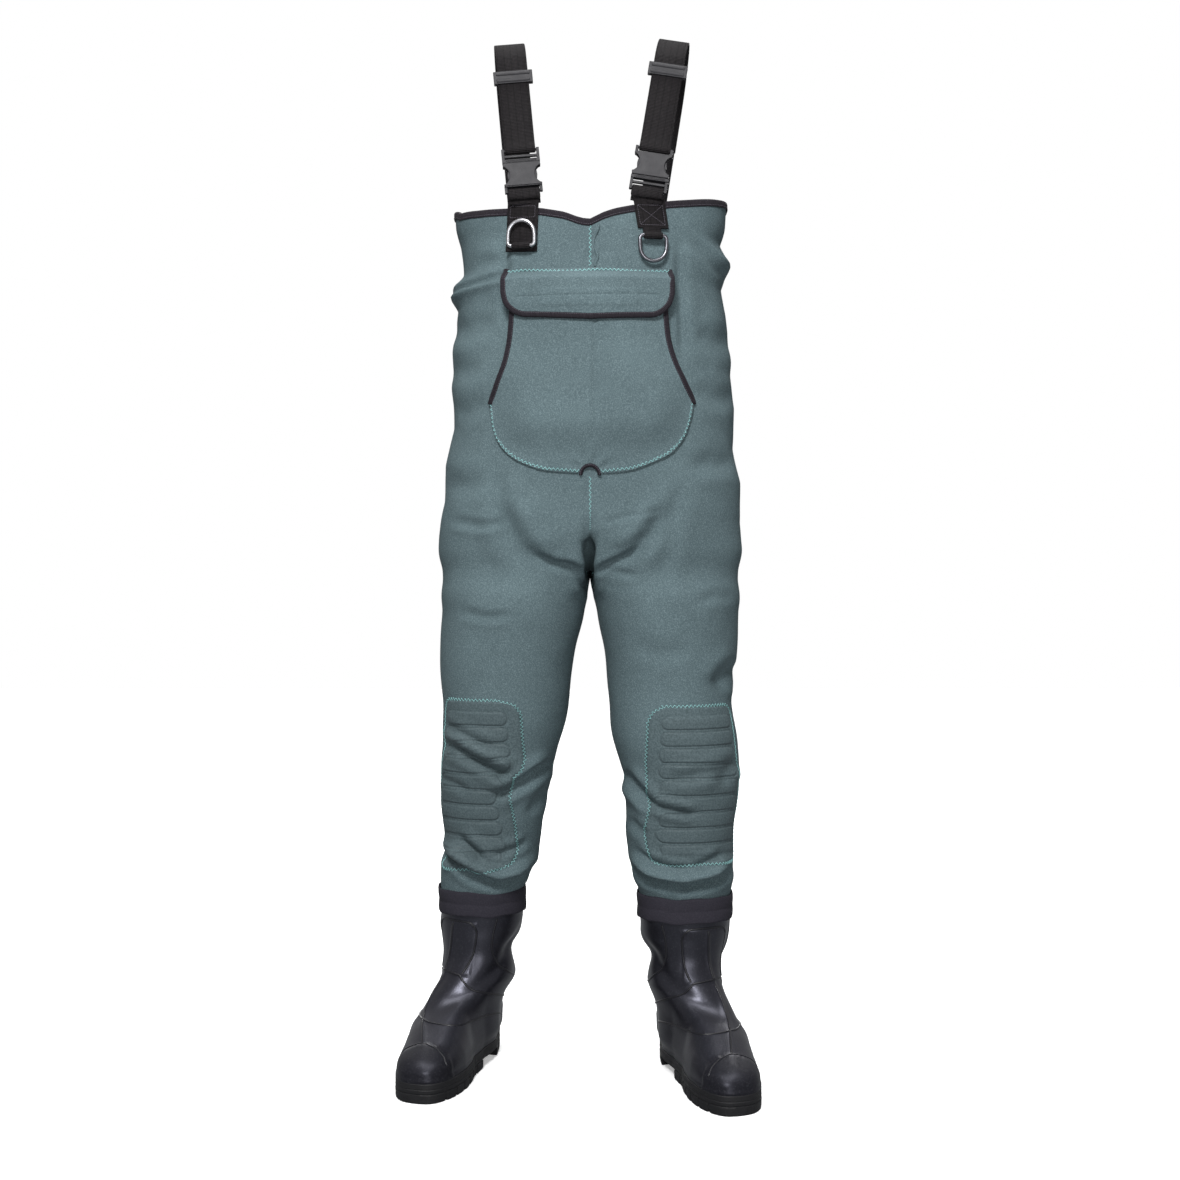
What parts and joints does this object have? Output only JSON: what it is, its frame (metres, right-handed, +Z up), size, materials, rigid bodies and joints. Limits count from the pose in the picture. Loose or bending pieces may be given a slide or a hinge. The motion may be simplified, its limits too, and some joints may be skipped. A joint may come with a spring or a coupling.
{
  "type": "chest waders",
  "caption": "Neoprene chest waders with rubber boots, knee pads, chest pocket with flap, D-rings and buckled shoulder straps, standing upright.",
  "frame": {"origin": "middle of the footprint, on the floor under the soles", "axes": "+Z up the wader's length; the wearer faces -Y, so the wearer's right side is at -X"},
  "size_m": [0.5178, 0.3661, 1.5304],
  "materials": {
    "neoprene": "matte",
    "knee_pad": "matte",
    "binding": "matte",
    "webbing": "matte",
    "buckle_plastic": "satin",
    "steel": "polished",
    "boot_rubber": "satin",
    "outsole": "matte",
    "insole": "matte"
  },
  "bodies": {
    "suit": {"side_panel_right": "neoprene", "side_panel_left": "neoprene", "front_panel_right": "neoprene", "front_panel_left": "neoprene", "back_panel_right": "neoprene", "back_panel_left": "neoprene", "calf_panel_right": "neoprene", "calf_panel_left": "neoprene", "rim_binding": "binding", "knee_pad_right": "knee_pad", "knee_pad_left": "knee_pad", "boot_band_right": "binding", "boot_band_left": "binding", "boot_upper_right": "boot_rubber", "boot_upper_left": "boot_rubber", "boot_outsole_right": "outsole", "boot_outsole_left": "outsole", "boot_insole_right": "insole", "boot_insole_left": "insole", "pocket_panel": "neoprene", "pocket_binding_right": "binding", "pocket_binding_left": "binding", "pocket_drain_binding": "binding", "pocket_loop_strip": "webbing", "strap_tab_right": "webbing", "strap_tab_left": "webbing", "ring_keeper_right": "webbing", "ring_keeper_left": "webbing", "buckle_socket_right": "buckle_plastic", "buckle_plug_left": "buckle_plastic", "strap_elastic_right": "webbing", "strap_elastic_left": "webbing"},
    "flap": {"pocket_flap": "neoprene", "flap_binding": "binding", "flap_hook_strip": "webbing"},
    "strap_right": {"shoulder_strap_right": "webbing", "strap_return_right": "webbing", "buckle_plug_right": "buckle_plastic"},
    "strap_left": {"shoulder_strap_left": "webbing", "strap_return_left": "webbing", "buckle_socket_left": "buckle_plastic"},
    "slider_right": {"strap_slider_right": "buckle_plastic"},
    "slider_left": {"strap_slider_left": "buckle_plastic"},
    "prong_right_inner": {"buckle_prong_right_inner": "buckle_plastic"},
    "prong_right_outer": {"buckle_prong_right_outer": "buckle_plastic"},
    "prong_left_inner": {"buckle_prong_left_inner": "buckle_plastic"},
    "prong_left_outer": {"buckle_prong_left_outer": "buckle_plastic"},
    "ring_right": {"d_ring_right": "steel"},
    "ring_left": {"d_ring_left": "steel"}
  },
  "joints": [
    {"name": "flap_hinge", "type": "hinge", "parent": "suit", "child": "flap", "pos_m": [0.0162, -0.0954, 1.1775], "axis": [-1, 0, 0], "range_deg": [0, 75]},
    {"name": "buckle_release_right", "type": "slide", "parent": "suit", "child": "strap_right", "axis": [-0.0967, 0.1055, 0.9897], "range_m": [0, 0.04], "deforming": ["strap_elastic_right"]},
    {"name": "buckle_release_left", "type": "slide", "parent": "suit", "child": "strap_left", "axis": [0.1637, 0.1024, 0.9812], "range_m": [0, 0.04], "deforming": ["strap_elastic_left"]},
    {"name": "slider_adjust_right", "type": "slide", "parent": "strap_right", "child": "slider_right", "axis": [0.0967, -0.1055, -0.9897], "range_m": [0, 0.07], "deforming": ["strap_return_right"]},
    {"name": "slider_adjust_left", "type": "slide", "parent": "strap_left", "child": "slider_left", "axis": [-0.1637, -0.1024, -0.9812], "range_m": [0, 0.07], "deforming": ["strap_return_left"]},
    {"name": "prong_squeeze_right_inner", "type": "hinge", "parent": "strap_right", "child": "prong_right_inner", "pos_m": [-0.06583, -0.08376, 1.33078], "axis": [-0.035, 0.9934, -0.1093], "range_deg": [0, 5.5], "stiffness_Nm_per_rad": 0.8},
    {"name": "prong_squeeze_right_outer", "type": "hinge", "parent": "strap_right", "child": "prong_right_outer", "pos_m": [-0.09228, -0.08496, 1.32832], "axis": [0.035, -0.9934, 0.1093], "range_deg": [0, 5.5], "stiffness_Nm_per_rad": 0.8},
    {"name": "prong_squeeze_left_inner", "type": "hinge", "parent": "suit", "child": "prong_left_inner", "pos_m": [0.09169, -0.08615, 1.31171], "axis": [0.0276, 0.9937, -0.1083], "range_deg": [0, 5.5], "stiffness_Nm_per_rad": 0.8},
    {"name": "prong_squeeze_left_outer", "type": "hinge", "parent": "suit", "child": "prong_left_outer", "pos_m": [0.11792, -0.08734, 1.30746], "axis": [-0.0276, -0.9937, 0.1083], "range_deg": [0, 5.5], "stiffness_Nm_per_rad": 0.8},
    {"name": "ring_hinge_right", "type": "hinge", "parent": "suit", "child": "ring_right", "pos_m": [-0.0788, -0.09416, 1.21], "axis": [0.9708, -0.2398, 0], "range_deg": [0, 100]},
    {"name": "ring_hinge_left", "type": "hinge", "parent": "suit", "child": "ring_left", "pos_m": [0.1092, -0.09624, 1.224], "axis": [-0.9817, -0.1904, 0], "range_deg": [0, 165]}
  ]
}
